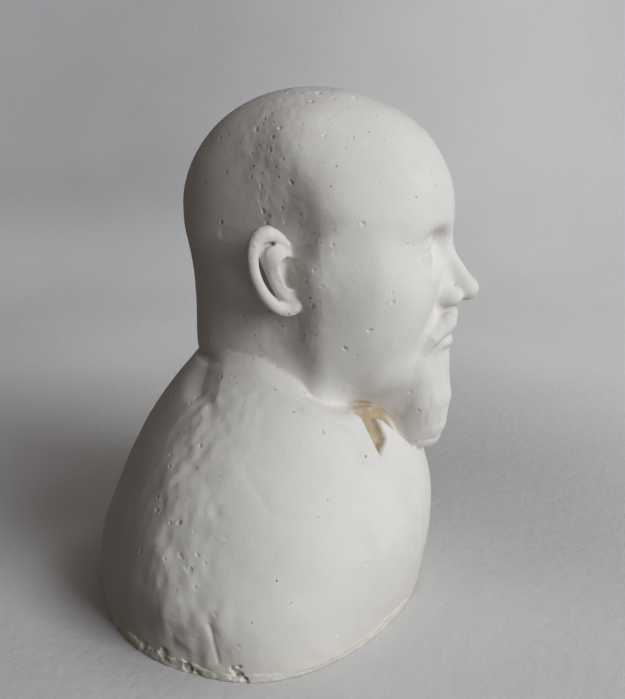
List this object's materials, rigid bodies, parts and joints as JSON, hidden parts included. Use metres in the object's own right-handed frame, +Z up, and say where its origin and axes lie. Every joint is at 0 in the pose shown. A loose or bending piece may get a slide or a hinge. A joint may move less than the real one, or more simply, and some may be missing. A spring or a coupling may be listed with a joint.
{
  "type": "portrait bust figurine",
  "caption": "Hollow cast plaster bust of a bald man with a goatee and a coat, plugged by a base slab, for standing on a desk or shelf.",
  "frame": {"origin": "on the resting plane, under the middle of the shoulders", "axes": "+Z up through the head, the face towards -Y, the figure's right shoulder towards -X"},
  "size_m": [0.1874, 0.1639, 0.2197],
  "materials": {
    "cast_plaster": "matte",
    "base_plaster": "rough matte"
  },
  "bodies": {
    "root": {"front_casting": "cast_plaster", "back_casting": "cast_plaster", "base_slab": "base_plaster"}
  },
  "joints": []
}
